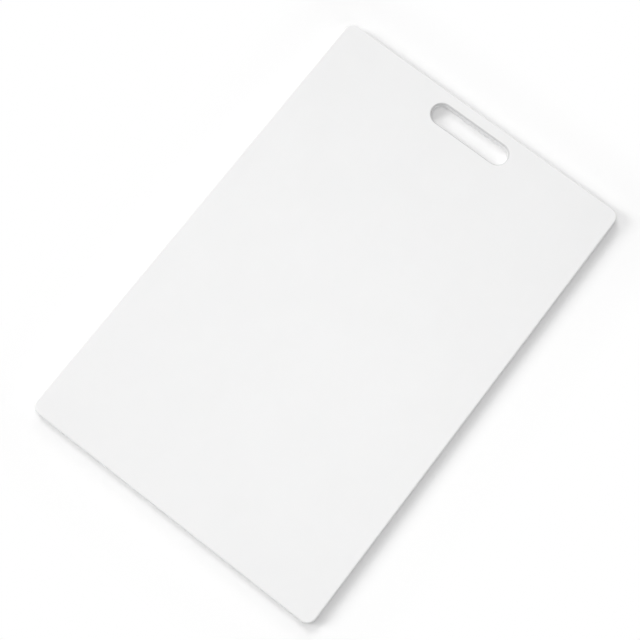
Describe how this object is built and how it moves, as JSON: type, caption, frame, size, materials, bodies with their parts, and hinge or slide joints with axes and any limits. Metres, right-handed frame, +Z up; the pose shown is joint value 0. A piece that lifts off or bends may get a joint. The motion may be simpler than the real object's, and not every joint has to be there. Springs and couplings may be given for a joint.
{
  "type": "cutting board",
  "caption": "Rectangular slab of solid white plastic with rounded corners, eased edges and a full-round hand slot near a short side, for cutting food on either face.",
  "frame": {"origin": "middle of the underside", "axes": "+Y along the board towards the hand slot, +X across it, +Z up out of the cutting face"},
  "size_m": [0.3048, 0.4572, 0.0095],
  "materials": {
    "white_polyethylene": "satin white, solid through"
  },
  "bodies": {
    "root": {"board": "white_polyethylene"}
  },
  "joints": []
}
